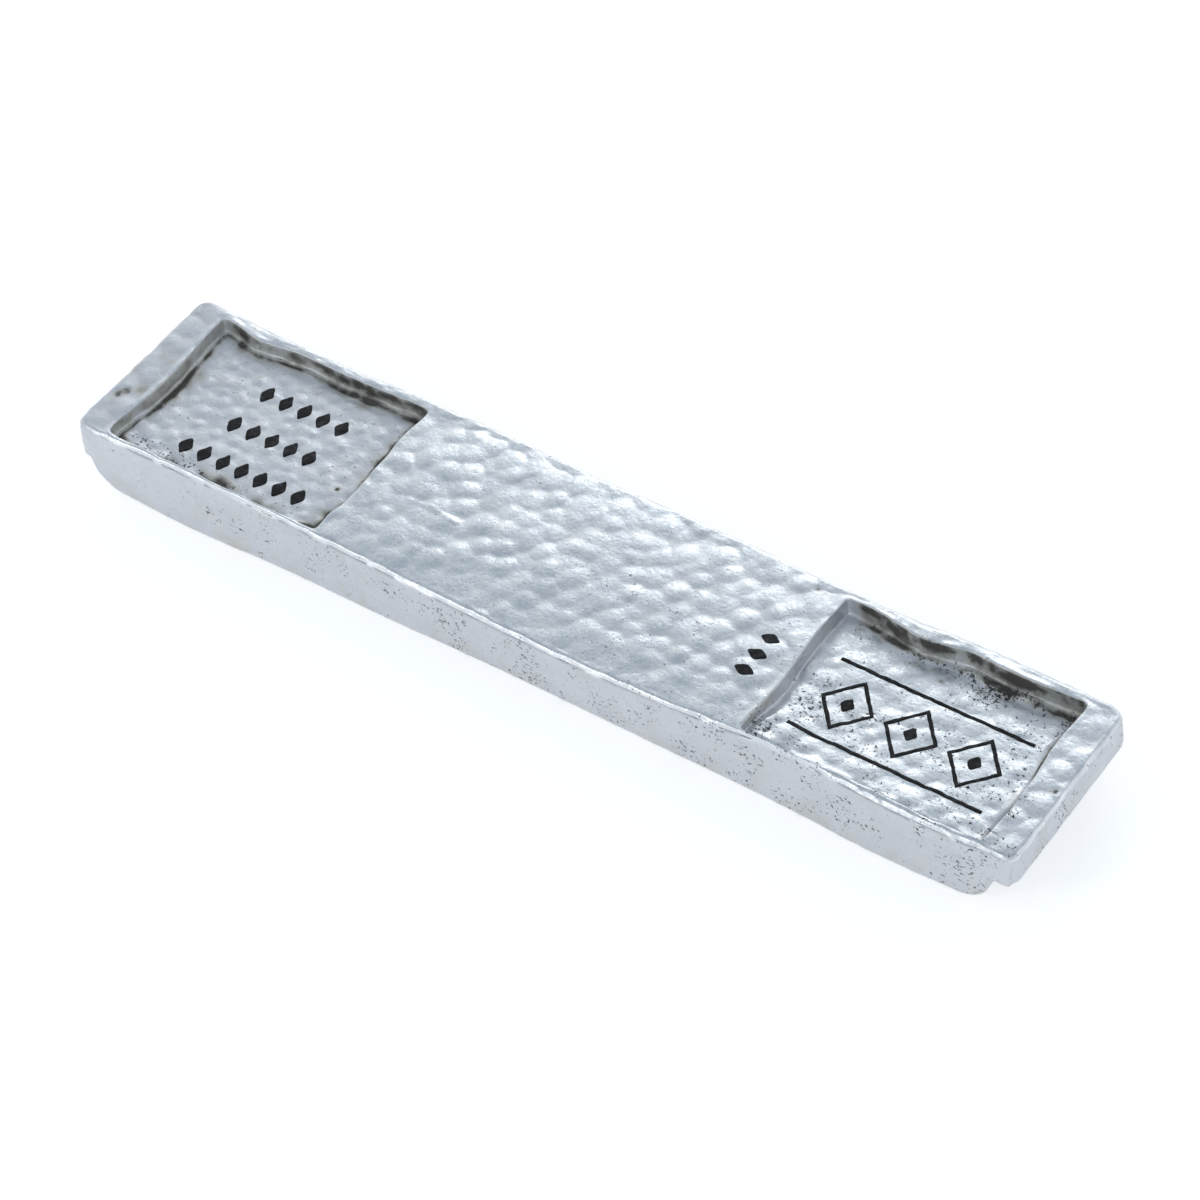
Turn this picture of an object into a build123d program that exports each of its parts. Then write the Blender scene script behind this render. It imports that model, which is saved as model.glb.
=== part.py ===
from build123d import *
from math import radians, tan
import os

# Cast tin ingot: a bar with an overhanging lip at each end and two shallow pockets in its top.
# It lies along X on its flat base, the origin is at the middle of the base, and +Z is up.
# All sizes are in millimetres.

# Overall sizes
length = 100.4
width = 19.6
height = 7.5
crown_sag = 0.15

# Lips at the ends: how far each reaches out, how thick it is at the end, and its rounds,
# which take no more than these shares of its reach
left_lip_reach = 1.6
left_lip_thickness = 4.1
left_lip_corner = 0.95
left_notch_radius = 0.5
right_lip_reach = 2.6
right_lip_thickness = 3.8
right_lip_corner = 0.9
right_notch_radius = 0.25
lip_draft = 4.0
lip_corner_share = 0.6
notch_share = 0.35

# Base block: the draft of its ends and the round where they meet the underside
left_end_draft = 14.0
right_end_draft = 6.0
base_round = 2.9
base_round_share = 0.9

# Plan corners, going round from near right by far right and far left to near left
corner_radii = (1.2, 2.0, 1.4, 1.4)

# Pockets: length, floor depth, and what is left between each pocket and the sides and ends
left_pocket_length = 23.8
left_pocket_depth = 1.5
left_end_land = 3.8
right_pocket_length = 24.0
right_pocket_depth = 1.8
right_end_land = 3.7
near_rim = 0.8
far_rim = 1.3
pocket_draft = 6.0
pocket_corner = 0.5
pocket_floor_fillet = 0.45
pocket_headroom = 1.0

# Worn edges
top_edge_fillet = 0.35
base_edge_fillet = 0.6

# Waves: how far evenly spaced points of each wandering edge stand out from its straight line.
# Each runs anticlockwise seen from above: near sides left to right, far sides right to left.
near_wave = (-0.1, -0.1, 0.0, 0.3, 0.4, 0.05, -0.4, 0.2)
far_wave = (0.15, -0.25, 0.05, 0.2, 0.05, 0.3, -0.1, -0.3)
near_foot_wave = (0.35, 0.0, 0.0, -0.2, -0.2, -0.15, -0.05, 0.3)
far_foot_wave = (0.25, -0.1, -0.1, -0.2, -0.2, 0.0, 0.0, 0.2)
left_pocket_waves = (
    (0.05, 0.1, 0.2),
    (0.25, 0.2, -0.1),
    (-0.2, -0.3, -0.3, -0.35, -0.7),
    (-0.2, -0.45, -0.3),
)
right_pocket_waves = (
    (0.1, -0.15, 0.15),
    (0.15, 0.0, -0.2),
    (-0.15, -0.2, -0.15, -0.8, -0.25),
    (0.1, -0.2, -0.3),
)

# Places that follow from the sizes
left_end = -length / 2
right_end = length / 2
near_side = -width / 2
far_side = width / 2


def wandering_side(start, end, wave):
    """A side from start to end that leaves and arrives straight and wanders by the wave between."""
    start = Vector(*start)
    run = Vector(*end) - start
    outward = run.normalized().rotate(Axis.Z, -90)
    steps = len(wave) + 1
    between = [start + run * ((i + 1) / steps) + outward * push for i, push in enumerate(wave)]
    Spline(start, *between, start + run, tangents=(run, run))


def wandering_rectangle(x_low, x_high, y_low, y_high, waves, radii):
    """Rectangle with rounded corners: near, right, far and left sides, corners from near right."""
    near, right, far, left = waves
    near_right, far_right, far_left, near_left = radii
    with BuildSketch() as rectangle:
        with BuildLine():
            wandering_side((x_low + near_left, y_low), (x_high - near_right, y_low), near)
            RadiusArc((x_high - near_right, y_low), (x_high, y_low + near_right), -near_right)
            wandering_side((x_high, y_low + near_right), (x_high, y_high - far_right), right)
            RadiusArc((x_high, y_high - far_right), (x_high - far_right, y_high), -far_right)
            wandering_side((x_high - far_right, y_high), (x_low + far_left, y_high), far)
            RadiusArc((x_low + far_left, y_high), (x_low, y_high - far_left), -far_left)
            wandering_side((x_low, y_high - far_left), (x_low, y_low + near_left), left)
            RadiusArc((x_low, y_low + near_left), (x_low + near_left, y_low), -near_left)
        make_face()
    return rectangle.sketch


def bar_outline(near, far):
    """Plan outline of the bar: straight ends, and long sides that wander by the given waves."""
    waves = (near, (), far, ())
    return wandering_rectangle(left_end, right_end, near_side, far_side, waves, corner_radii)


def side_profile():
    """Side view of the bar: flat base, drafted base ends, notches under the lips, dished top."""
    left_step = height - left_lip_thickness
    right_step = height - right_lip_thickness
    left_foot = left_end + left_lip_reach + left_step * tan(radians(left_end_draft))
    right_foot = right_end - right_lip_reach - right_step * tan(radians(right_end_draft))
    left_top = (left_end + left_lip_thickness * tan(radians(lip_draft)), height)
    right_top = (right_end - right_lip_thickness * tan(radians(lip_draft)), height)
    with BuildSketch() as profile:
        with BuildLine():
            FilletPolyline(
                left_top,
                (left_end, left_step),
                (left_end + left_lip_reach, left_step),
                (left_foot, 0),
                (right_foot, 0),
                (right_end - right_lip_reach, right_step),
                (right_end, right_step),
                right_top,
                radius=(
                    min(left_lip_corner, left_lip_reach * lip_corner_share),
                    min(left_notch_radius, left_lip_reach * notch_share),
                    min(base_round, left_step * base_round_share),
                    min(base_round, right_step * base_round_share),
                    min(right_notch_radius, right_lip_reach * notch_share),
                    min(right_lip_corner, right_lip_reach * lip_corner_share),
                ),
            )
            ThreePointArc(right_top, (0, height - crown_sag), left_top)
        make_face()
    return profile.sketch


def pocket(x_low, x_high, depth, waves):
    """The space of one pocket: drafted walls up from its floor, past the top of the bar."""
    with BuildPart() as space:
        for level in (height - depth, height + pocket_headroom):
            spread = (level - height) * tan(radians(pocket_draft))
            with BuildSketch(Plane.XY.offset(level)):
                add(
                    wandering_rectangle(
                        x_low - spread,
                        x_high + spread,
                        near_side + near_rim - spread,
                        far_side - far_rim + spread,
                        waves,
                        (pocket_corner,) * 4,
                    )
                )
        loft()
    return space.part


left_pocket = pocket(
    left_end + left_end_land,
    left_end + left_end_land + left_pocket_length,
    left_pocket_depth,
    left_pocket_waves,
)
right_pocket = pocket(
    right_end - right_end_land - right_pocket_length,
    right_end - right_end_land,
    right_pocket_depth,
    right_pocket_waves,
)

with BuildPart() as ingot:
    # Wavy block, with its foot rounded all round
    with BuildSketch(Plane.XY):
        add(bar_outline(near_foot_wave, far_foot_wave))
    with BuildSketch(Plane.XY.offset(height)):
        add(bar_outline(near_wave, far_wave))
    loft()
    foot = ingot.faces().sort_by(Axis.Z)[0]
    fillet(foot.edges(), radius=base_edge_fillet)

    # Lips, base ends and dished top
    with BuildSketch(Plane.XZ):
        add(side_profile())
    extrude(amount=width, both=True, mode=Mode.INTERSECT)
    crown = ingot.faces().sort_by(Axis.Z)[-1]
    fillet(crown.edges(), radius=top_edge_fillet)

    # Pockets, rounded where floor meets wall
    add(left_pocket, mode=Mode.SUBTRACT)
    add(right_pocket, mode=Mode.SUBTRACT)
    lowest_floor = height - max(left_pocket_depth, right_pocket_depth)
    floors = ingot.faces().filter_by(Plane.XY).filter_by_position(Axis.Z, lowest_floor, height)
    fillet([edge for floor in floors for edge in floor.edges()], radius=pocket_floor_fillet)

ingot.part.label = "ingot"
os.makedirs("parts", exist_ok=True)
export_step(ingot.part, "parts/ingot.step")
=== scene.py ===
from math import ceil, cos, pi, radians, sin, tan

import bpy
import numpy as np
from mathutils import Matrix, Vector
from mathutils.bvhtree import BVHTree


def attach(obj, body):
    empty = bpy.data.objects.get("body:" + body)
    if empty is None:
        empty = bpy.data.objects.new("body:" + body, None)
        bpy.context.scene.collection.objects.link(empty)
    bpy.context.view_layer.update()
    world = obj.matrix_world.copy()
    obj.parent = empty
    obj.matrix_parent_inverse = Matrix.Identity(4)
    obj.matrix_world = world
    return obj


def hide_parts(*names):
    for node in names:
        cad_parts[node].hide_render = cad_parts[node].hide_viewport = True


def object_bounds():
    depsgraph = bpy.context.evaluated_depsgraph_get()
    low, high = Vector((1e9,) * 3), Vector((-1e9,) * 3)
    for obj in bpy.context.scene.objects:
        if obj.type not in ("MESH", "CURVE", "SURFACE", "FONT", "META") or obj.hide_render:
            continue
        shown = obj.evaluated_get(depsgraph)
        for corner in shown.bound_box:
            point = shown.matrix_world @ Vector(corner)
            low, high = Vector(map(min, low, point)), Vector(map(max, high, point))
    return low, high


# Cast tin ingot: its hammered, pitted and stained surface, modelled at the size of the frame.
# Shapes are worked out in millimetres and made into meshes in metres.

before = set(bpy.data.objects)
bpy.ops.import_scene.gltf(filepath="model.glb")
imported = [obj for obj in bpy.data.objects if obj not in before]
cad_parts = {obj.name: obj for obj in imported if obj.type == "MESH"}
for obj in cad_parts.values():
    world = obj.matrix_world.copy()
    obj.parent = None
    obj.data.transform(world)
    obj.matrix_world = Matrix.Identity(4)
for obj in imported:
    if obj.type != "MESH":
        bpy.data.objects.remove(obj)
cad_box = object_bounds()
millimetre = 0.001
floor_level = min(corner[2] for corner in cad_box)

# Sizes of the casting
length = 100.4
width = 19.6
height = 7.5
crown_sag = 0.15
lip_draft = 4.0
left_lip = {"reach": 1.6, "thickness": 4.1, "corner": 0.95, "notch": 0.5, "end_draft": 14.0}
right_lip = {"reach": 2.6, "thickness": 3.8, "corner": 0.9, "notch": 0.25, "end_draft": 6.0}
base_round = 2.9
corner_radii = {"near_left": 1.4, "near_right": 1.2, "far_right": 2.0, "far_left": 1.4}
near_rim = 0.8
far_rim = 1.3
pocket_corner = 0.5

# Pockets, by where their end walls stand at the top, their depth and how much of it is silted up
# in the near left corner
left_pocket = {"low": -46.4, "high": -22.6, "depth": 1.5, "shallow": 0.15}
right_pocket = {"low": 22.5, "high": 46.5, "depth": 1.8, "shallow": 0.4}

# Worn edges: how far in each starts, how bent the top's is, and between which heights the
# foot's gives way to the lips'
top_edge = 0.38
edge_bend = 1.35
foot_edge = 0.6
lip_edge = 0.25
edge_change = (0.8, 2.2)
rim_edge = 0.15

# Pocket walls: how far each leans in, the round at its foot, and the size of the silted corner
wall_run = 0.1
floor_fillet = 0.3
silted_length = 6.0
silted_width = 9.0

# Room left under the frame's top for the bumps, how far the land falls towards its sides, and
# between which distances from the middle that fall fades out
relief_room = 0.13
cross_crown = 0.26
crown_fade = (19.0, 26.0)

# Waves of the edges: how far evenly spaced points stand out, going round anticlockwise
near_wave = (-0.1, -0.1, 0.0, 0.3, 0.4, 0.05, -0.4, 0.2)
far_wave = (0.15, -0.25, 0.05, 0.2, 0.05, 0.3, -0.1, -0.3)
near_foot_wave = (0.35, 0.0, 0.0, -0.2, -0.2, -0.15, -0.05, 0.3)
far_foot_wave = (0.25, -0.1, -0.1, -0.2, -0.2, 0.0, 0.0, 0.2)
left_pocket["waves"] = {
    "near": (0.05, 0.1, 0.2),
    "high": (0.25, 0.2, -0.1),
    "far": (-0.2, -0.3, -0.3, -0.35, -0.7),
    "low": (-0.2, -0.45, -0.3),
}
right_pocket["waves"] = {
    "near": (0.1, -0.15, 0.15),
    "high": (0.15, 0.0, -0.2),
    "far": (-0.15, -0.2, -0.15, -0.8, -0.25),
    "low": (0.1, -0.2, -0.3),
}

# How far from a pocket's end walls, and past its ends, its waves still bend the plan, and how
# much of the long sides' waves the rest of the land takes
wave_reach = 5.0
wave_fade = 3.0
side_share = 0.9

# Mesh density
spacing = 0.245
end_zone = 6.2
side_rows = 16
turn_step = radians(11)
path_step = 0.45

# Distance into a pocket that stands for a place off the top
far_outside = -9.0

# Places that follow from the sizes
half_length = length / 2
near_side = -width / 2
far_side = width / 2
near_wall = near_side + near_rim
far_wall = far_side - far_rim
left_top = -half_length + left_lip["thickness"] * tan(radians(lip_draft))
right_top = half_length - right_lip["thickness"] * tan(radians(lip_draft))


# Smooth functions of place

def wander(start, end, wave):
    """Function of place along an edge: how far its wave stands out from the straight line."""
    out = np.array((0.0, *wave, 0.0))
    slopes = np.zeros(len(out))
    inner = len(wave)
    system = 4 * np.eye(inner) + np.eye(inner, k=1) + np.eye(inner, k=-1)
    slopes[1:-1] = np.linalg.solve(system, 3 * (out[2:] - out[:-2]))

    def stand_out(place):
        steps = np.clip((place - start) / (end - start), 0, 1) * (len(out) - 1)
        low = np.minimum(steps.astype(int), len(out) - 2)
        t = steps - low
        rise = (2 * t**3 - 3 * t**2 + 1) * out[low] + (3 * t**2 - 2 * t**3) * out[low + 1]
        return rise + (t**3 - 2 * t**2 + t) * slopes[low] + (t**3 - t**2) * slopes[low + 1]

    return stand_out


def tent(place, low, peak, high):
    """1 at peak, falling straight to 0 at low and at high."""
    return np.clip(np.minimum((place - low) / (peak - low), (high - place) / (high - peak)), 0, 1)


def ease(place, low, high):
    """Smooth step from 0 at low to 1 at high."""
    t = np.clip((place - low) / (high - low), 0, 1)
    return t * t * (3 - 2 * t)


# Noise: how many random values it draws on, how far apart two seeds lie, and its cells' factors
noise_values = 4096
seed_shift = 7.31
cell_factors = np.array((73856093, 19349663, 83492791))


def noise(points, size, seed):
    """Smooth noise from -1 to 1 of points in space, with features about as large as size."""
    table = np.random.default_rng(seed).uniform(-1, 1, noise_values)
    cells = points / size + seed * seed_shift
    low = np.floor(cells).astype(np.int64)
    t = cells - low
    t = t * t * (3 - 2 * t)
    total = np.zeros(len(points))
    for corner in np.ndindex(2, 2, 2):
        key = (low + corner) @ cell_factors
        share = np.prod(np.where(np.array(corner) == 1, t, 1 - t), axis=1)
        total += share * table[key % noise_values]
    return total


# Domes: the gap between rows and the jitter as shares of the gap, the ranges of their sizes and
# heights, the spread of their turns in radians, and how sharply neighbours stay apart
row_share = 0.87
jitter_share = 0.3
dome_sizes = (0.72, 1.22)
dome_heights = (0.35, 1.0)
turn_spread = 0.35
sharpness = 8


def domes(x, y, gap, radius, lift, stretch, tilt, seed):
    """Low domes on a jittered grid, as an even union: a field from 0 to about lift."""
    rng = np.random.default_rng(seed)
    total = np.zeros_like(x)
    rows = np.arange(y.min() - gap, y.max() + gap, gap * row_share)
    for row, middle_y in enumerate(rows, 1):
        for middle_x in np.arange(x.min() - gap + (row % 2) * gap / 2, x.max() + gap, gap):
            jitter = rng.uniform(-jitter_share, jitter_share, 2) * gap
            size = radius * rng.uniform(*dome_sizes)
            rise = lift * rng.uniform(*dome_heights)
            long = 1 + stretch * rng.uniform(0, 1)
            turn = tilt + rng.normal(0, turn_spread)
            dx = x - middle_x - jitter[0]
            dy = y - middle_y - jitter[1]
            inside = np.nonzero((np.abs(dx) < size * long) & (np.abs(dy) < size * long))[0]
            if len(inside) == 0:
                continue
            along = (dx[inside] * cos(turn) + dy[inside] * sin(turn)) / long
            across = dy[inside] * cos(turn) - dx[inside] * sin(turn)
            fall = np.clip(1 - (along**2 + across**2) / size**2, 0, 1)
            total[inside] += (rise * fall) ** sharpness
    return total ** (1 / sharpness)


# Lines of the grid that the casting is modelled on

def wall_profile(depth):
    """Places and drops of the lines down a pocket's wall, by distance into the pocket."""
    turns = np.linspace(0, pi / 2, 5)
    rim_place = rim_edge * (np.sin(turns) - 1)
    rim_drop = rim_edge * (1 - np.cos(turns))
    wall_place = wall_run * np.array((1, 2)) / 3
    wall_drop = rim_edge + (depth - rim_edge - floor_fillet) * np.array((1, 2)) / 3
    foot_place = wall_run + floor_fillet * (1 - np.cos(turns))
    foot_drop = depth - floor_fillet * (1 - np.sin(turns))
    places = np.concatenate((rim_place, wall_place, foot_place))
    return places, np.concatenate((rim_drop, wall_drop, foot_drop))


def filled(fixed):
    """Sorted lines no further apart than spacing, in an even number of steps."""
    fixed = sorted(fixed)
    counts = [max(1, ceil((b - a) / spacing - 1e-6)) for a, b in zip(fixed, fixed[1:])]
    if sum(counts) % 2:
        counts[counts.index(max(counts))] += 1
    lines = [fixed[0]]
    for a, b, count in zip(fixed, fixed[1:], counts):
        lines += [a + (b - a) * (step + 1) / count for step in range(count)]
    return np.array(lines)


# How far in from the sides and from the ends the first lines lie
edge_insets = (0.0, 0.03, 0.09, 0.18, 0.28, 0.39)
end_insets = edge_insets + (0.54, 0.72, 0.93, 1.17, 1.43, 1.71, 2.0)
wall_places = wall_profile(1.0)[0]

x_fixed = [left_top + inset for inset in end_insets] + [right_top - inset for inset in end_insets]
x_fixed += [-half_length + end_zone, half_length - end_zone]
for pocket in (left_pocket, right_pocket):
    x_fixed += [pocket["low"] + place for place in wall_places]
    x_fixed += [pocket["high"] - place for place in wall_places]
y_fixed = [near_side + inset for inset in edge_insets] + [far_side - inset for inset in edge_insets]
y_fixed += [near_wall + place for place in wall_places]
y_fixed += [far_wall - place for place in wall_places]
x_lines = filled(x_fixed)
y_lines = filled(y_fixed)
x_count = len(x_lines)
y_count = len(y_lines)


# Plan of the casting

side_start = -half_length + corner_radii["near_left"]
near_top = wander(side_start, half_length - corner_radii["near_right"], near_wave)
near_foot = wander(side_start, half_length - corner_radii["near_right"], near_foot_wave)
far_start = half_length - corner_radii["far_right"]
far_top = wander(far_start, -half_length + corner_radii["far_left"], far_wave)
far_foot = wander(far_start, -half_length + corner_radii["far_left"], far_foot_wave)


def side_shifts(x, level):
    """How far the near and far sides stand towards +Y at a level, from 0 at the foot to 1."""
    near = -near_top(x) * level - near_foot(x) * (1 - level)
    far = far_top(x) * level + far_foot(x) * (1 - level)
    return near, far


def round_corners(x, y, left, right):
    """Bends the square plan corners of a grid into arcs, and returns the distance to the edge."""
    inset_x = np.minimum(x - left, right - x)
    inset_y = np.minimum(y - near_side, far_side - y)
    new_x, new_y = x.copy(), y.copy()
    for corner, radius in corner_radii.items():
        at_left = corner.endswith("left")
        at_near = corner.startswith("near")
        from_end = x - left if at_left else right - x
        from_side = y - near_side if at_near else far_side - y
        u = np.clip(1 - from_end / radius, 0, 1)
        v = np.clip(1 - from_side / radius, 0, 1)
        inside = (from_end < radius) & (from_side < radius)
        out = np.maximum(u, v)
        share = np.where(out > 0, np.minimum(u, v) / np.maximum(out, 1e-9), 0)
        turn = np.where(u >= v, share * pi / 4, pi / 2 - share * pi / 4)
        bent_x = radius * (1 - out * np.cos(turn))
        bent_y = radius * (1 - out * np.sin(turn))
        new_x = np.where(inside, left + bent_x if at_left else right - bent_x, new_x)
        new_y = np.where(inside, near_side + bent_y if at_near else far_side - bent_y, new_y)
    return new_x, new_y, np.maximum(np.minimum(inset_x, inset_y), 0)


def pocket_distance(x, y, pocket):
    """Distance into a pocket's rounded rectangle, less than 0 outside it."""
    dx = np.minimum(x - pocket["low"], pocket["high"] - x)
    dy = np.minimum(y - near_wall, far_wall - y)
    at_corner = (dx < pocket_corner) & (dy < pocket_corner)
    rounded = pocket_corner - np.hypot(pocket_corner - dx, pocket_corner - dy)
    return np.where(at_corner, rounded, np.minimum(dx, dy))


def edge_drop(inset, size):
    """How far a worn, almost straight chamfer has fallen at an inset from its edge."""
    return size * np.clip(1 - inset / size, 0, 1) ** edge_bend


def top_grid():
    """Top of the casting: points of its grid, distance to the edge and into the pockets."""
    x, y = np.meshgrid(x_lines, y_lines, indexing="ij")
    plan_x, plan_y, inset = round_corners(x, y, left_top, right_top)
    z = height - crown_sag * (1 - (plan_x / half_length) ** 2) - edge_drop(inset, top_edge)
    z -= relief_room + cross_crown * (y / far_side) ** 2 * (1 - ease(np.abs(x), *crown_fade))
    near, far = side_shifts(plan_x, 1.0)
    land_near, land_far = near * side_share, far * side_share
    shift_x = np.zeros_like(x)
    distances = []
    for pocket in (left_pocket, right_pocket):
        low, high, waves = pocket["low"], pocket["high"], pocket["waves"]
        away = np.maximum(low - x, x - high)
        near_push = wander(low + pocket_corner, high - pocket_corner, waves["near"])
        far_push = wander(high - pocket_corner, low + pocket_corner, waves["far"])
        high_push = wander(near_wall + pocket_corner, far_wall - pocket_corner, waves["high"])
        low_push = wander(far_wall - pocket_corner, near_wall + pocket_corner, waves["low"])
        beside = 1 - ease(away, 0.0, wave_fade)
        land_near = land_near * (1 - beside) - near_push(x) * beside
        land_far = land_far * (1 - beside) + far_push(x) * beside
        low_start = max(low - wave_reach, -half_length)
        high_stop = min(high + wave_reach, half_length)
        shift_x -= low_push(y) * tent(x, low_start, low, low + wave_reach)
        shift_x += high_push(y) * tent(x, high - wave_reach, high, high_stop)
        distance = pocket_distance(x, y, pocket)
        places, drops = wall_profile(pocket["depth"])
        silted = 1 - ease(x, low, low + silted_length)
        silted *= 1 - ease(y, near_wall, near_wall + silted_width)
        z -= np.interp(distance, places, drops) * (1 - pocket["shallow"] * silted)
        distances.append(distance)
    shift_y = near * tent(y, near_side - 1, near_side, near_wall)
    shift_y += land_near * tent(y, near_side, near_wall, 0.0)
    shift_y += land_far * tent(y, 0.0, far_wall, far_side)
    shift_y += far * tent(y, far_wall, far_side, far_side + 1)
    points = np.stack((plan_x + shift_x, plan_y + shift_y, z), axis=-1)
    return points, inset, distances


# Underside of the casting

def arc_corner(before, corner, after, radius, steps=24):
    """Points of the arc that rounds a corner between two straight runs."""
    one = (before - corner) / np.linalg.norm(before - corner)
    two = (after - corner) / np.linalg.norm(after - corner)
    half = np.arccos(np.clip(one @ two, -1, 1)) / 2
    middle = (one + two) / np.linalg.norm(one + two)
    centre = corner + middle * radius / sin(half)
    start = corner + one * radius / tan(half) - centre
    stop = corner + two * radius / tan(half) - centre
    sweep = pi - 2 * half
    shares = np.linspace(0, 1, steps)[:, None]
    of_start = np.sin((1 - shares) * sweep) * start
    of_stop = np.sin(shares * sweep) * stop
    return centre + (of_start + of_stop) / sin(sweep)


def end_path(lip, count):
    """Side view of one end of the underside, from its lip's corner inwards, as count lines."""
    step = height - lip["thickness"]
    foot = lip["reach"] + step * tan(radians(lip["end_draft"]))
    stops = np.array([
        (lip["thickness"] * tan(radians(lip_draft)), height),
        (0.0, step),
        (lip["reach"], step),
        (foot, 0.0),
        (end_zone, 0.0),
    ])
    rounds = (lip["corner"], lip["notch"], base_round)
    arcs = [arc_corner(*stops[i:i + 3], radius) for i, radius in enumerate(rounds)]
    path = np.concatenate((*arcs, np.linspace(arcs[-1][-1], stops[-1], 20)[1:]))
    runs = np.diff(path, axis=0)
    sizes = np.linalg.norm(runs, axis=1)
    headings = np.unwrap(np.arctan2(runs[:, 1], runs[:, 0]))
    turning = np.abs(np.diff(headings, prepend=headings[0]))
    weight = np.concatenate(((0.0,), np.cumsum(sizes / path_step + turning / turn_step)))
    wanted = np.linspace(0, weight[-1], count)
    return np.stack([np.interp(wanted, weight, path[:, axis]) for axis in (0, 1)], axis=1)


def bottom_grid():
    """Underside and base ends of the casting, with as many lines as its top."""
    left_count = int(np.argmin(np.abs(x_lines + half_length - end_zone))) + 1
    right_count = x_count - int(np.argmin(np.abs(x_lines - half_length + end_zone)))
    left = end_path(left_lip, left_count) - (half_length, 0)
    right = (end_path(right_lip, right_count) * (-1, 1) + (half_length, 0))[::-1]
    middle = x_lines[left_count:x_count - right_count]
    path = np.concatenate((left, np.stack((middle, 0 * middle), axis=1), right))
    runs = np.gradient(path, axis=0)
    runs /= np.linalg.norm(runs, axis=1)[:, None]
    inward = np.stack((-runs[:, 1], runs[:, 0]), axis=1)
    x, y = np.meshgrid(path[:, 0], y_lines, indexing="ij")
    z = np.repeat(path[:, 1:], y_count, axis=1)
    slope = tan(radians(lip_draft))
    left_end = -half_length + np.maximum(z - height + left_lip["thickness"], 0) * slope
    right_end = half_length - np.maximum(z - height + right_lip["thickness"], 0) * slope
    plan_x, plan_y, inset = round_corners(x, y, left_end, right_end)
    from_side = np.minimum(y - near_side, far_side - y)
    edge = foot_edge + (lip_edge - foot_edge) * ease(z, *edge_change)
    rise = edge - np.sqrt(np.maximum(edge**2 - np.clip(edge - from_side, 0, edge) ** 2, 0))
    near, far = side_shifts(plan_x, z / height)
    shift_y = near * tent(y, near_side - 1, near_side, 0.0)
    shift_y += far * tent(y, 0.0, far_side, far_side + 1)
    points = np.stack((
        plan_x + rise * inward[:, :1],
        plan_y + shift_y,
        z + rise * inward[:, 1:],
    ), axis=-1)
    return points, inset


def ring_of(columns, rows):
    """Grid places round the edge of a grid, anticlockwise from the near left corner."""
    near = [(i, 0) for i in range(columns - 1)]
    right = [(columns - 1, j) for j in range(rows - 1)]
    far = [(i, rows - 1) for i in range(columns - 1, 0, -1)]
    left = [(0, j) for j in range(rows - 1, 0, -1)]
    return np.array(near + right + far + left)


def quads_of(index):
    """Four-sided faces between the rows and columns of a grid of point numbers."""
    corners = (index[:-1, :-1], index[1:, :-1], index[1:, 1:], index[:-1, 1:])
    return np.stack(corners, axis=-1).reshape(-1, 4)


def grid_faces(columns, rows, first, upward):
    """Four-sided faces of a grid whose points are numbered from first."""
    quads = quads_of(first + np.arange(columns * rows).reshape(columns, rows))
    return quads if upward else quads[:, ::-1]


def casting():
    """Points and faces of the casting before any relief, and where each point lies on it."""
    top, top_inset, distances = top_grid()
    bottom, bottom_inset = bottom_grid()
    top_ring = ring_of(x_count, y_count)
    upper = top[top_ring[:, 0], top_ring[:, 1]]
    lower = bottom[top_ring[:, 0], top_ring[:, 1]]
    shares = np.arange(1, side_rows) / side_rows
    sides = upper[None] * (1 - shares[:, None, None]) + lower[None] * shares[:, None, None]
    coarse = bottom[::2, ::2]
    columns, rows = coarse.shape[:2]
    points = np.concatenate((top.reshape(-1, 3), sides.reshape(-1, 3), coarse.reshape(-1, 3)))

    around = len(top_ring)
    first_side = x_count * y_count
    first_bottom = first_side + around * (side_rows - 1)
    rings = [top_ring[:, 0] * y_count + top_ring[:, 1]]
    rings += [first_side + around * row + np.arange(around) for row in range(side_rows - 1)]
    quads = [
        grid_faces(x_count, y_count, 0, True),
        grid_faces(columns, rows, first_bottom, False),
    ]
    for above, below in zip(rings, rings[1:]):
        quads.append(np.stack((above, below, np.roll(below, -1), np.roll(above, -1)), axis=1))

    # The underside has half as many lines, so triangles join it to the last ring of the sides
    last = rings[-1]
    foot_ring = ring_of(columns, rows)
    foot = first_bottom + foot_ring[:, 0] * rows + foot_ring[:, 1]
    foot_next = np.roll(foot, -1)
    start, middle, end = last[::2], last[1::2], np.roll(last, -2)[::2]
    triangles = np.concatenate([
        np.stack((start, foot, middle), axis=1),
        np.stack((middle, foot, foot_next), axis=1),
        np.stack((middle, foot_next, end), axis=1),
    ])
    faces = [face for block in quads for face in block.tolist()] + triangles.tolist()

    inset = np.zeros(len(points))
    inset[:first_side] = top_inset.ravel()
    inset[first_bottom:] = bottom_inset[::2, ::2].ravel()
    into = np.full((2, len(points)), far_outside)
    for row, distance in enumerate(distances):
        into[row, :first_side] = distance.ravel()
    on_top = np.zeros(len(points), bool)
    on_top[:first_side] = True
    return points, faces, inset, into, on_top


def normals_of(points, faces):
    """Unit normals of the points, from the faces round each one."""
    total = np.zeros_like(points)
    for size in (3, 4):
        block = np.array([face for face in faces if len(face) == size])
        across = points[block[:, 2]] - points[block[:, 0]]
        other = points[block[:, -1]] - points[block[:, 1]]
        facing = np.cross(across, other)
        for column in range(size):
            np.add.at(total, block[:, column], facing)
    return total / np.maximum(np.linalg.norm(total, axis=1), 1e-12)[:, None]


# Relief of the surface

# Numbers in ease and tent say where something starts, peaks and stops, mostly in millimetres.
# Numbers in noise are the size of its features and its seed.

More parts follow.
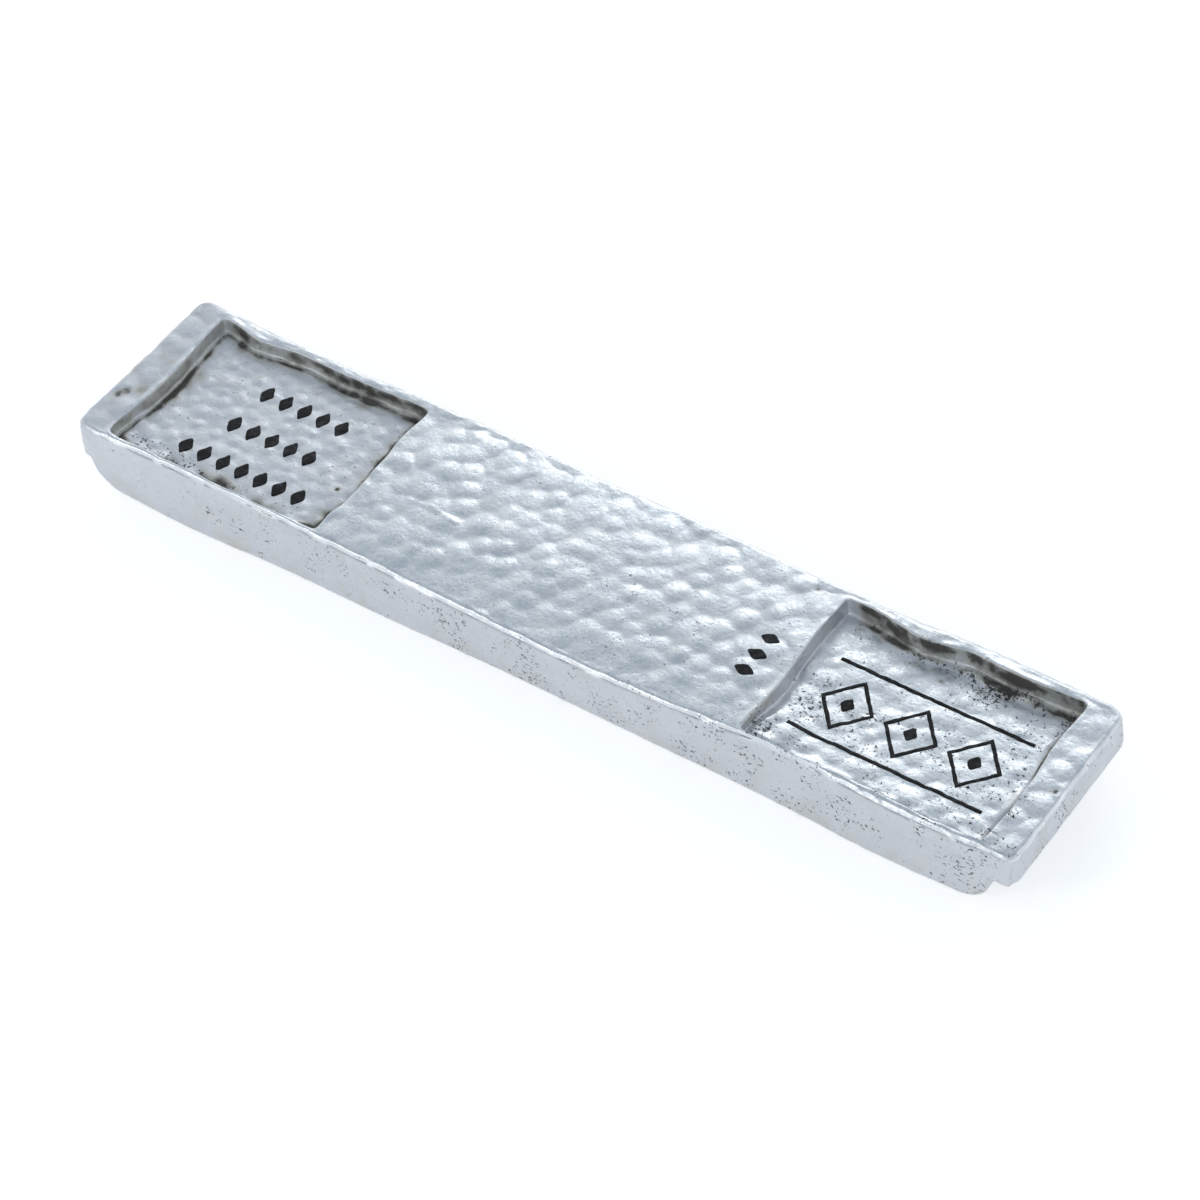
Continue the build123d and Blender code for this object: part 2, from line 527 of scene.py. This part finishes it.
# Domes on each part of it: gap, radius, lift, stretch, tilt and seed
land_domes = (2.3, 1.5, 0.22, 0.35, radians(40), 11)
end_domes = (2.7, 1.35, 0.14, 0.4, radians(20), 17)
bubble_domes = (1.75, 0.85, 0.11, 0.2, 0.0, 23)
floor_domes = (2.1, 1.25, 0.13, 0.4, radians(35), 31)
side_domes = (2.2, 1.2, 0.1, 0.8, 0.0, 41)
end_face_domes = (2.2, 1.2, 0.06, 0.6, 0.0, 43)

# How much the height counts in the noise of the top, how far the right floor falls for each
# millimetre towards the far side, and how the dents of the long sides are skewed
height_share = 0.2
floor_tilt = 0.025
side_skew = 0.3

# Single flaws: pits by place and radius, how deep they are for their radius, and a raised
# scratch with its height and how far it reaches to each side
pit_depth = 0.35
scratch_height = 0.07
scratch_reach = 0.16
pits = (
    (49.0, -1.3, 0.36),
    (19.7, 8.2, 0.28),
    (-24.8, -3.0, 0.25),
    (33.6, 5.8, 0.25),
    (-48.7, -4.6, 0.35),
    (-48.2, -3.9, 0.3),
)
scratch = ((-17.4, -1.6), (-15.2, -1.5), (-12.2, -1.9))


def spot(x, y, place_x, place_y, reach):
    """1 at a place, fading to 0 around it."""
    return np.exp(-((x - place_x) ** 2 + (y - place_y) ** 2) / reach**2)


def line_distance(x, y, line):
    """Distance from each place to a line of straight runs."""
    nearest = np.full_like(x, np.inf)
    for (x0, y0), (x1, y1) in zip(line, line[1:]):
        run_x, run_y = x1 - x0, y1 - y0
        share = np.clip(((x - x0) * run_x + (y - y0) * run_y) / (run_x**2 + run_y**2), 0, 1)
        nearest = np.minimum(nearest, np.hypot(x - x0 - share * run_x, y - y0 - share * run_y))
    return nearest


def top_bumps(points, into):
    """Bumps of the hammered land, of both ends and of the two floors."""
    x, y = points.T[:2]
    flat = points * (1, 1, height_share)
    in_left, in_right = ease(into, 0.35, 1.0)
    land = (1 - in_left) * (1 - in_right)
    middle = ease(x, -24.0, -19.0) * (1 - ease(x, 20.5, 23.0))
    strip = 0.5 + 0.5 * ease(y, -8.5, -4.5)
    hammered = domes(x, y, *land_domes) * (0.85 + 0.3 * noise(points, 9.0, 12))
    ends = domes(x, y, *end_domes) + noise(flat, 3.0, 18) * 0.04
    bubbles = domes(x, y, *bubble_domes)
    floor_bumps = domes(x, y, *floor_domes) + noise(points, 3.5, 32) * 0.05
    rough_rim = tent(x, 23.5, 28.0, 34.0) * ease(y, 7.6, 8.4) * land

    out = (hammered - 0.07) * middle * strip * land
    out += (ends - 0.07) * (1 - middle) * land
    out += (bubbles - 0.03) * in_left + (floor_bumps - 0.05 - floor_tilt * y) * in_right
    out += rough_rim * (noise(points, 0.75, 49) * 0.09 - 0.03)
    out += noise(flat, 6.0, 3) * 0.05 * land
    return out + (noise(flat, 1.5, 13) * 0.022 + noise(flat, 0.8, 14) * 0.012)


def wall_relief(points, pocket):
    """Uneven rims and walls of the pockets, and the silt at the feet of the walls."""
    beside_wall = ease(pocket, -0.45, -0.1) * (1 - ease(pocket, 0.6, 1.5))
    foot = ease(pocket, 0.05, 0.3) * (1 - ease(pocket, 0.5, 1.6))
    uneven = noise(points, 2.2, 33) * 0.13 + noise(points, 0.9, 34) * 0.07
    silt = 0.06 + 0.2 * noise(points, 1.5, 37) + 0.08 * noise(points, 0.7, 38)
    return beside_wall * uneven + foot * silt


def single_flaws(x, y):
    """Pits and the scratch of the top."""
    out = scratch_height * np.exp(-(line_distance(x, y, scratch) / scratch_reach) ** 2)
    for place_x, place_y, radius in pits:
        out -= pit_depth * radius * spot(x, y, place_x, place_y, radius)
    return out


def side_relief(points, normals, on_top, outside):
    """Dents of the long sides and the end faces, and a broken groove under the top edge."""
    x, y, z = points.T
    side_dents = domes(x + y * side_skew, z, *side_domes) - 0.1
    end_dents = domes(y, z, *end_face_domes) - 0.07
    facing_side = ease(np.abs(normals[:, 1]), 0.6, 0.95)
    facing_end = ease(np.abs(normals[:, 0]), 0.6, 0.95)
    out = (side_dents * facing_side + end_dents * facing_end) * outside
    groove = tent(z, 6.35, 6.75, 6.95) * np.clip(0.6 + noise(points, 3.0, 48), 0, 1)
    return out + (noise(points, 0.8, 47) * 0.014 - 0.014 - 0.07 * groove) * (~on_top)


def relief(points, normals, inset, into, on_top):
    """How far each point stands out of the smooth casting."""
    x, y, z = points.T
    pocket = into.max(axis=0)
    up = ease(normals[:, 2], 0.5, 0.95) * on_top
    from_edge = 0.3 * ease(inset, 0.0, 0.2) + 0.7 * ease(inset, 0.1, 0.9)
    from_rim = 1 - 0.75 * ease(pocket, -0.6, -0.1) * (1 - ease(pocket, 0.45, 0.9))
    out = top_bumps(points, into) * from_edge * from_rim * up
    out += wall_relief(points, pocket)
    out += single_flaws(x, y) * on_top
    top_line = (1 - ease(inset, 0.2, 0.6)) * ease(z, 5.8, 6.8)
    out += top_line * (noise(points, 2.6, 35) * 0.06 + noise(points, 0.8, 36) * 0.07 - 0.06)
    return out + side_relief(points, normals, on_top, pocket < -0.3)


# Materials

# Colours of the tin, each pair from its darker to its lighter or from thin to thicker dirt, which
# also stands for painted shade
bright_tin = ((0.64, 0.68, 0.725), (0.77, 0.80, 0.825))
thin_dirt_and_shade = ((0.43, 0.43, 0.47), (0.42, 0.40, 0.34))
thick_dirt_and_shade = (0.07, 0.067, 0.06)
pore_black = (0.02, 0.02, 0.022)

# Colours of the black marks and where in the noise of their rubbing they stand
mark_colours = ((0.45, (0.004, 0.004, 0.005)), (0.8, (0.04, 0.04, 0.045)))

# How high the fine bumps of the tin's material stand, in metres, and how strongly they show
fine_bump = 0.00006
bump_strength = 0.6

# Black specks: they stand where fine noise passes a limit, which pores pull down, and fade in
# over a short way past it
speck_limit = 0.705
pore_pull = 0.24
speck_fade = 0.035


def new_material(name):
    """Material made of nodes, and its node tree."""
    material = bpy.data.materials.new(name)
    material.use_nodes = True
    return material, material.node_tree


def node(tree, kind, **settings):
    """New node with its settings."""
    made = tree.nodes.new(kind)
    for name, value in settings.items():
        setattr(made, name, value)
    return made


def calculated(tree, operation, *inputs, clamp=False):
    """Result of an operation on numbers and sockets."""
    made = node(tree, "ShaderNodeMath", operation=operation, use_clamp=clamp)
    for socket, value in zip(made.inputs, inputs):
        if isinstance(value, (int, float)):
            socket.default_value = value
        else:
            tree.links.new(value, socket)
    return made.outputs[0]


def ramp(tree, value, stops):
    """Colour of a value on a ramp through stops of a place and a colour."""
    made = node(tree, "ShaderNodeValToRGB")
    tree.links.new(value, made.inputs["Fac"])
    elements = made.color_ramp.elements
    for element, (place, colour) in zip(elements, (stops[0], stops[-1])):
        element.position = place
        element.color = (*colour, 1)
    for place, colour in stops[1:-1]:
        elements.new(place).color = (*colour, 1)
    return made.outputs["Color"]


def tin_material():
    """Cast tin: bright satin metal, grey to dark where grime and painted shade lie, with black
    pores.
    """
    material, tree = new_material("cast_tin")
    link = tree.links.new
    shader = tree.nodes["Principled BSDF"]
    place = node(tree, "ShaderNodeTexCoord")

    def noise_node(scale, detail, roughness=0.55):
        made = node(tree, "ShaderNodeTexNoise")
        made.inputs["Scale"].default_value = scale
        made.inputs["Detail"].default_value = detail
        made.inputs["Roughness"].default_value = roughness
        link(place.outputs["Object"], made.inputs["Vector"])
        return made.outputs["Fac"]

    def value_of(name):
        return node(tree, "ShaderNodeAttribute", attribute_name=name).outputs["Fac"]

    def maths(operation, *inputs, clamp=False):
        return calculated(tree, operation, *inputs, clamp=clamp)

    def spread(value, low, high, to_low=0.0, to_high=1.0):
        made = node(tree, "ShaderNodeMapRange", interpolation_type="SMOOTHSTEP")
        link(value, made.inputs["Value"])
        made.inputs["From Min"].default_value = low
        made.inputs["From Max"].default_value = high
        made.inputs["To Min"].default_value = to_low
        made.inputs["To Max"].default_value = to_high
        return made.outputs["Result"]

    def mixed(share, one, two):
        made = node(tree, "ShaderNodeMix", data_type="RGBA")
        link(share, made.inputs["Factor"])
        for socket, colour in ((made.inputs["A"], one), (made.inputs["B"], two)):
            if isinstance(colour, tuple):
                socket.default_value = (*colour, 1.0)
            else:
                link(colour, socket)
        return made.outputs["Result"]

    grime_and_shade = value_of("grime_and_shade")
    pores = value_of("pores")
    cloudy = noise_node(scale=420.0, detail=4.0)
    fine = noise_node(scale=2600.0, detail=3.0)
    grain = noise_node(scale=7000.0, detail=2.0)
    wrinkled = noise_node(scale=1200.0, detail=2.0, roughness=0.5)
    flaws = noise_node(scale=3000.0, detail=4.0, roughness=0.7)
    clusters = spread(noise_node(scale=330.0, detail=2.0), 0.38, 0.62, 0.45, 1.3)

    # Grime and painted shade from the point attribute, broken up by cloudy noise
    stained_and_shaded = maths("MULTIPLY", grime_and_shade, spread(cloudy, 0.3, 0.62, 0.7, 1.15), clamp=True)
    pulled = maths("MULTIPLY", maths("MULTIPLY", pores, clusters), pore_pull)
    past_limit = maths("SUBTRACT", flaws, maths("SUBTRACT", speck_limit, pulled))
    specks = spread(past_limit, 0.0, speck_fade)

    bright = mixed(spread(cloudy, 0.3, 0.7), *bright_tin)
    thin = mixed(spread(stained_and_shaded, 0.4, 0.7), *thin_dirt_and_shade)
    dirt_and_shade = mixed(spread(stained_and_shaded, 0.5, 1.0), thin, thick_dirt_and_shade)
    dirty_and_shaded = mixed(stained_and_shaded, bright, dirt_and_shade)
    link(mixed(specks, dirty_and_shaded, pore_black), shader.inputs["Base Color"])
    dull = maths("MAXIMUM", specks, maths("MULTIPLY", stained_and_shaded, 0.55))
    link(maths("SUBTRACT", 1.0, dull, clamp=True), shader.inputs["Metallic"])
    rough = maths("ADD", spread(fine, 0.3, 0.7, 0.24, 0.4), maths("MULTIPLY", stained_and_shaded, 0.3))
    link(rough, shader.inputs["Roughness"])

    bump = node(tree, "ShaderNodeBump")
    bump.inputs["Strength"].default_value = bump_strength
    bump.inputs["Distance"].default_value = fine_bump
    bumps = maths("ADD", maths("MULTIPLY", wrinkled, 0.85), maths("MULTIPLY", grain, 0.3))
    bumps = maths("ADD", bumps, maths("MULTIPLY", fine, 0.8))
    link(maths("SUBTRACT", bumps, maths("MULTIPLY", specks, 1.5)), bump.inputs["Height"])
    link(bump.outputs["Normal"], shader.inputs["Normal"])
    return material


def put_in_scene(name, data):
    """New object of a mesh, a camera or a lamp."""
    made = bpy.data.objects.new(name, data)
    bpy.context.scene.collection.objects.link(made)
    return made


def make_piece(name, points, faces, material):
    """Mesh object from points in millimetres."""
    mesh = bpy.data.meshes.new(name)
    mesh.from_pydata((points * millimetre).tolist(), [], faces)
    mesh.polygons.foreach_set("use_smooth", [True] * len(mesh.polygons))
    mesh.materials.append(material)
    mesh.validate()
    mesh.update()
    return put_in_scene(name, mesh)


def store(piece, name, values):
    """Keeps a value of each point for the material to read."""
    attribute = piece.data.attributes.new(name, "FLOAT", "POINT")
    attribute.data.foreach_set("value", np.asarray(values, np.float32))


# How much the parts of the surface add to its grime and painted shade, and to its pores; each
# sum is kept from 0 to 1. The walls, the floors' margins and the hollows get painted shade.
grime_and_shade_of_part = {
    "left wall": 0.95,
    "right wall": 1.1,
    "left floor": 0.2,
    "left margin": 0.6,
    "right margin": 0.6,
    "far corner": 0.5,
    "far left patch": 0.3,
    "left end": 0.45,
    "sides": 0.35,
    "pits": 0.9,
    "hollows": 0.2,
}
pores_of_part = {
    "all": 0.12,
    "right half": 0.2,
    "wall": 0.15,
    "left floor": 0.1,
    "right floor": 0.1,
    "far corner": 0.45,
    "sides": 0.1,
    "left of the sides": 0.14,
    "near foot": 0.2,
    "near end": 0.35,
    "near margin": 0.35,
}


def finish_and_shade_zones(points, into):
    """Parts of the pockets with a finish of their own, some also with painted shade, each 0 outside
    the part and 1 in it.
    """
    x, y = points.T[:2]
    pocket = into.max(axis=0)
    broad = noise(points, 3.0, 61)
    left_floor, right_floor = ease(into, 0.3, 0.7)
    near_margin = left_floor * (1 - ease(y, near_wall + 0.6, near_wall + 3.4))
    return {
        "wall": ease(pocket, -0.15, 0.05) * (1 - ease(pocket, 0.55, 1.2 + 0.5 * broad)),
        "left floor": left_floor,
        "right floor": right_floor,
        "left margin": left_floor * (1 - ease(into[0], 0.8, 3.2 + broad)),
        "right margin": right_floor * (1 - ease(into[1], 0.5, 1.6 + broad)) * ease(y, -4.0, 6.0),
        "near margin": near_margin * ease(x, -47.5, -44.5) * (1 - ease(x, -31.0, -25.0)),
        "far corner": right_floor * ease(x, 27.0, 39.0) * ease(y, 4.0, 8.0),
    }


def grime_and_shade_of(points, into, on_top, zones):
    """Grime and painted shade of each point, from 0 to 1."""
    x, y, z = points.T
    patches = np.clip(0.45 + 0.5 * noise(points, 2.4, 62) + 0.4 * noise(points, 0.9, 63), 0, 1)
    low_wall = 1 - ease(z + 0.5 * noise(points, 1.3, 64), 5.9, 6.8)
    lighter_wall = ease(x, 21.0, 22.0) * (1 - ease(x, 23.2, 24.5))
    # Pocket walls: dark patina with painted shade laid over it, both weaker low down and on the
    # right pocket's left wall
    on_wall = zones["wall"] * (0.8 + 0.3 * patches)
    left_wall = on_wall * (1 - 0.2 * low_wall) * (0.75 + 0.25 * ease(x, -46.0, -45.0))
    right_wall = on_wall * (1 - 0.3 * low_wall) * (1 - 0.5 * lighter_wall)
    grime_and_shade = grime_and_shade_of_part["left wall"] * left_wall * (into[0] > -0.5)
    grime_and_shade += grime_and_shade_of_part["right wall"] * right_wall * (into[1] > -0.5)
    grime_and_shade += grime_and_shade_of_part["left floor"] * zones["left floor"]
    # Floors along their walls: stain with painted shade; the far corner of the right floor: stain
    for part in ("left margin", "right margin", "far corner"):
        grime_and_shade += grime_and_shade_of_part[part] * zones[part] * patches
    # Left floor along its near wall: stain with painted shade
    grime_and_shade += zones["near margin"] * (0.2 + 0.15 * patches + 0.1 * noise(points, 0.6, 66))
    far_left = tent(x, -46.0, -42.5, -38.0) * tent(y, 0.5, 4.0, 7.5) * zones["left floor"]
    grime_and_shade += grime_and_shade_of_part["far left patch"] * far_left * patches
    left_end = (1 - ease(x, -46.8, -46.2)) * on_top
    grime_and_shade += (0.05 + grime_and_shade_of_part["left end"] * patches) * left_end
    low_side = 1 - ease(z, 0.5, 3.0)
    grime_and_shade += (grime_and_shade_of_part["sides"] + 0.1 * patches + 0.08 * low_side) * (~on_top)
    ragged = 1 + 0.5 * noise(points, 0.5, 65)
    for place_x, place_y, radius in pits:
        grime_and_shade += grime_and_shade_of_part["pits"] * spot(x, y, place_x, place_y, radius * ragged) * on_top
    return np.clip(grime_and_shade, 0, 1)


def pores_of(points, on_top, zones):
    """How many pores there are at each point, from 0 to 1."""
    x, y = points.T[:2]
    parts = {
        **zones,
        "all": np.ones(len(points)),
        "right half": ease(x, -20.0, 25.0) * (1 - 0.5 * ease(y, -3.0, 6.0)),
        "sides": ~on_top,
        "left of the sides": ease(x, -46.0, -28.0) * (1 - ease(x, 0.0, 20.0)) * (~on_top),
        "near foot": tent(x, 22.0, 24.5, 28.5) * (1 - ease(y, -6.0, 1.0)) * zones["right floor"],
        "near end": ease(x, 45.0, 47.5) * tent(y, -9.5, -6.0, -2.0) * on_top,
    }
    pores = sum(amount * parts[part] for part, amount in pores_of_part.items())
    return np.clip(pores, 0, 1)


def ingot_body():
    """The whole casting as one mesh; returns its points and faces for the marks to lie on."""
    points, faces, inset, into, on_top = casting()
    normals = normals_of(points, faces)
    out = relief(points, normals, inset, into, on_top)
    zones = finish_and_shade_zones(points, into)
    # Land that dips below its smooth surface is darkened: painted shade in the dents
    hollows = ease(-out, 0.0, 0.09) * on_top * (into.max(axis=0) < -0.6)
    grime_and_shade = grime_and_shade_of(points, into, on_top, zones) + grime_and_shade_of_part["hollows"] * hollows
    pores = pores_of(points, on_top, zones)
    points = points + normals * out[:, None]
    piece = make_piece("ingot_body", points, faces, tin_material())
    store(piece, "grime_and_shade", np.clip(grime_and_shade, 0, 1))
    store(piece, "pores", pores)
    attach(piece, "root")
    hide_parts("ingot")
    return points, faces


# Black marks: thin solids that follow the metal they lie on

# How far they stand out of the metal and reach into it, how close their points are, how wide
# their strokes are, how far their edges waver and how much their corners are softened
mark_proud = 0.03
mark_sunk = 0.09
mark_step = 0.2
stroke = 0.36
mark_waver = 0.05
corner_softness = 0.14

# Left pocket: rows by height, first place and number, their gap and the lozenges' half sizes
left_rows = ((3.4, -37.6, 5), (-1.2, -37.9, 5), (-5.7, -40.1, 7))
left_gap = 2.15
left_lozenge = (0.78, 1.2)

# Land beside the right pocket: a short row along Y
land_place = 19.4
land_rows = (-3.3, -1.2, 0.9)
land_lozenge = (1.1, 0.7)

# Right pocket: two rules, with outlined lozenges between them
rule_ends = (25.0, 44.2)
rule_places = (-5.3, 3.5)
band_places = (28.3, 34.6, 40.9)
band_middle = -0.9
band_outline = (2.7, 3.2)
band_lozenge = (0.75, 0.9)


def ground_of(points, faces):
    """Function of place that gives the height of the metal there."""
    tree = BVHTree.FromPolygons(points.tolist(), faces)

    def ground(x, y):
        return tree.ray_cast(Vector((x, y, height + 5)), Vector((0, 0, -1)))[0].z

    return ground


def sheet(plan, closed, ground):
    """Points and faces of a thin solid over a grid of plan points, closed into a ring or not."""
    columns, rows = plan.shape[:2]
    flat = plan.reshape(-1, 2)
    in_space = np.column_stack((flat, np.zeros(len(flat))))
    waver = np.stack([noise(in_space, 0.5, seed) for seed in (71, 72)], axis=1)
    flat = flat + mark_waver * waver
    metal = np.array([ground(*place) for place in flat.tolist()])
    top = np.column_stack((flat, metal + mark_proud))
    base = np.column_stack((flat, metal - mark_sunk))
    index = np.arange(columns * rows).reshape(columns, rows)
    if closed:
        index = np.concatenate((index, index[:1]))
    quads = quads_of(index)
    count = len(flat)
    edges = [index[:, 0], index[::-1, -1]]
    if not closed:
        edges += [index[-1], index[0, ::-1]]
    faces = quads.tolist() + (quads[:, ::-1] + count).tolist()
    for edge in edges:
        start, end = edge[:-1], edge[1:]
        faces += np.stack((start, start + count, end + count, end), axis=1).tolist()
    return np.concatenate((top, base)), faces


def lozenge(place_x, place_y, half_x, half_y):
    """Plan grid of a filled lozenge with softened corners."""
    count = max(3, ceil(np.hypot(half_x, half_y) / mark_step) + 1)
    u, v = np.meshgrid(np.linspace(-1, 1, count), np.linspace(-1, 1, count), indexing="ij")
    soft = 1 - corner_softness * (u * v) ** 4
    x = place_x + (u + v) / 2 * half_x * soft
    y = place_y + (v - u) / 2 * half_y * soft
    return np.stack((x, y), axis=-1)


def lozenge_outline(place_x, place_y, half_x, half_y):
    """Plan grid of a stroke round a lozenge, from its outer to its inner edge."""
    count = ceil(np.hypot(half_x, half_y) / mark_step)
    shares = np.arange(count) / count
    corners = np.array(((half_x, 0), (0, half_y), (-half_x, 0), (0, -half_y)))
    line = np.concatenate([
        start * (1 - shares[:, None]) + end * shares[:, None]
        for start, end in zip(corners, np.roll(corners, -1, axis=0))
    ])
    inner = 1 - stroke * np.hypot(half_x, half_y) / (half_x * half_y)
    scales = np.linspace(1, inner, 3)
    return line[:, None] * scales[None, :, None] + (place_x, place_y)


def rule(x_low, x_high, place_y):
    """Plan grid of a straight stroke along X."""
    count = ceil((x_high - x_low) / mark_step) + 1
    across = np.linspace(-stroke / 2, stroke / 2, 3)
    x, y = np.meshgrid(np.linspace(x_low, x_high, count), place_y + across, indexing="ij")
    return np.stack((x, y), axis=-1)


def mark_material():
    """Black satin filling, a little greyer where it is rubbed."""
    material, tree = new_material("black_filling")
    shader = tree.nodes["Principled BSDF"]
    place = node(tree, "ShaderNodeTexCoord")
    rubbed = node(tree, "ShaderNodeTexNoise")
    rubbed.inputs["Scale"].default_value = 1800.0
    tree.links.new(place.outputs["Object"], rubbed.inputs["Vector"])
    tree.links.new(ramp(tree, rubbed.outputs["Fac"], mark_colours), shader.inputs["Base Color"])
    shader.inputs["Roughness"].default_value = 0.6
    shader.inputs["Specular IOR Level"].default_value = 0.25
    return material


def marks(name, shapes, ground, material):
    """One piece of all the marks of a place; each shape is a plan grid and whether it closes."""
    points, faces = [], []
    for plan, closed in shapes:
        more_points, more_faces = sheet(plan, closed, ground)
        first = sum(map(len, points))
        points.append(more_points)
        faces += [[first + corner for corner in face] for face in more_faces]
    piece = make_piece(name, np.concatenate(points), faces, material)
    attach(piece, "root")


def all_marks(points, faces):
    """Generic ornament: rows of lozenges at the left and on the land, and a band at the right."""
    ground = ground_of(points, faces)
    black = mark_material()
    rows = []
    for place_y, first_x, count in left_rows:
        places = [first_x + left_gap * step for step in range(count)]
        rows += [(lozenge(place_x, place_y, *left_lozenge), False) for place_x in places]
    marks("left_marks", rows, ground, black)
    short_row = [(lozenge(land_place, place_y, *land_lozenge), False) for place_y in land_rows]
    marks("land_marks", short_row, ground, black)
    band = [(rule(*rule_ends, place_y), False) for place_y in rule_places]
    for place_x in band_places:
        band.append((lozenge_outline(place_x, band_middle, *band_outline), True))
        band.append((lozenge(place_x, band_middle, *band_lozenge), False))
    marks("right_marks", band, ground, black)


all_marks(*ingot_body())


# Camera at the photograph's angle

# Its place, lens and sensor in millimetres, its azimuth, elevation and roll, and how near it
# sees, in metres
camera_place = (156.912, -199.018, 274.99)
camera_turn = radians(37.921)
camera_height = radians(47.137)
camera_roll = radians(-4.964)
lens_length = 125.42
sensor_width = 36.0
nearest_seen = 0.01

camera_data = bpy.data.cameras.new("camera")
camera_data.sensor_width = sensor_width
camera_data.sensor_fit = "HORIZONTAL"
camera_data.lens = lens_length
camera_data.clip_start = nearest_seen
camera = put_in_scene("camera", camera_data)
right = Vector((cos(camera_turn), sin(camera_turn), 0))
back = Vector((
    sin(camera_turn) * cos(camera_height),
    -cos(camera_turn) * cos(camera_height),
    sin(camera_height),
))
up = back.cross(right)
level = right * cos(camera_roll) + up * sin(camera_roll)
upright = up * cos(camera_roll) - right * sin(camera_roll)
camera.matrix_world = Matrix((
    (level.x, upright.x, back.x, camera_place[0] * millimetre),
    (level.y, upright.y, back.y, camera_place[1] * millimetre),
    (level.z, upright.z, back.z, camera_place[2] * millimetre),
    (0, 0, 0, 1),
))
bpy.context.scene.camera = camera


# White floor, soft lamps and a plain world, in metres

# Floor: half its size, the gap under the casting, its colour, and its glow in the camera and
# in reflections, which makes it show white
floor_half = 3.0
floor_gap = 0.00002
floor_grey = 0.9
floor_glow = 0.42

# Lamps: place, size and power in watts
lamps = {
    "key": ((-0.3, 0.76, 0.45), 0.45, 0.8),
    "front": ((-0.42, -0.72, 0.52), 0.25, 0.75),
}

# Light of the room, by the sine of the height above the horizon
room_colours = (
    (0.0, (1.02, 1.02, 1.02)),
    (0.42, (0.96, 0.98, 1.0)),
    (0.74, (0.56, 0.62, 0.67)),
    (1.0, (0.36, 0.41, 0.47)),
)


def floor_piece():
    """Pale floor that shows white, with the soft shadow of what lies on it."""
    mesh = bpy.data.meshes.new("floor")
    plan = ((-1, -1), (1, -1), (1, 1), (-1, 1))
    level_now = floor_level - floor_gap
    corners = [(floor_half * x, floor_half * y, level_now) for x, y in plan]
    mesh.from_pydata(corners, [], [(0, 1, 2, 3)])
    material, tree = new_material("floor_white")
    tree.nodes.clear()
    output = node(tree, "ShaderNodeOutputMaterial")
    diffuse = node(tree, "ShaderNodeBsdfDiffuse")
    diffuse.inputs["Color"].default_value = (floor_grey, floor_grey, floor_grey, 1)
    glow = node(tree, "ShaderNodeEmission")
    glow.inputs["Color"].default_value = (1, 1, 1, 1)
    path = node(tree, "ShaderNodeLightPath").outputs
    sharp = calculated(tree, "MAXIMUM", path["Is Glossy Ray"], path["Is Transmission Ray"])
    seen = calculated(tree, "MAXIMUM", path["Is Camera Ray"], sharp)
    tree.links.new(calculated(tree, "MULTIPLY", seen, floor_glow), glow.inputs["Strength"])
    both = node(tree, "ShaderNodeAddShader")
    tree.links.new(diffuse.outputs[0], both.inputs[0])
    tree.links.new(glow.outputs[0], both.inputs[1])
    tree.links.new(both.outputs[0], output.inputs["Surface"])
    mesh.materials.append(material)
    made = put_in_scene("floor", mesh)


def lamp(name, place, size, power):
    """Soft square lamp, turned to the middle of the base."""
    data = bpy.data.lights.new(name, "AREA")
    data.shape = "SQUARE"
    data.size = size
    data.energy = power
    made = put_in_scene(name, data)
    made.location = place
    made.rotation_euler = Vector(place).to_track_quat("Z", "Y").to_euler()


def world_light():
    """Pale room: white towards the horizon, darker overhead."""
    world = bpy.data.worlds.new("room")
    bpy.context.scene.world = world
    world.use_nodes = True
    tree = world.node_tree
    tree.nodes.clear()
    link = tree.links.new
    output = node(tree, "ShaderNodeOutputWorld")
    background = node(tree, "ShaderNodeBackground")
    place = node(tree, "ShaderNodeTexCoord")
    split = node(tree, "ShaderNodeSeparateXYZ")
    link(place.outputs["Generated"], split.inputs["Vector"])
    link(ramp(tree, split.outputs["Z"], room_colours), background.inputs["Color"])
    link(background.outputs[0], output.inputs["Surface"])


floor_piece()
for name, settings in lamps.items():
    lamp(name, *settings)
world_light()
bpy.context.scene.view_settings.view_transform = "Standard"
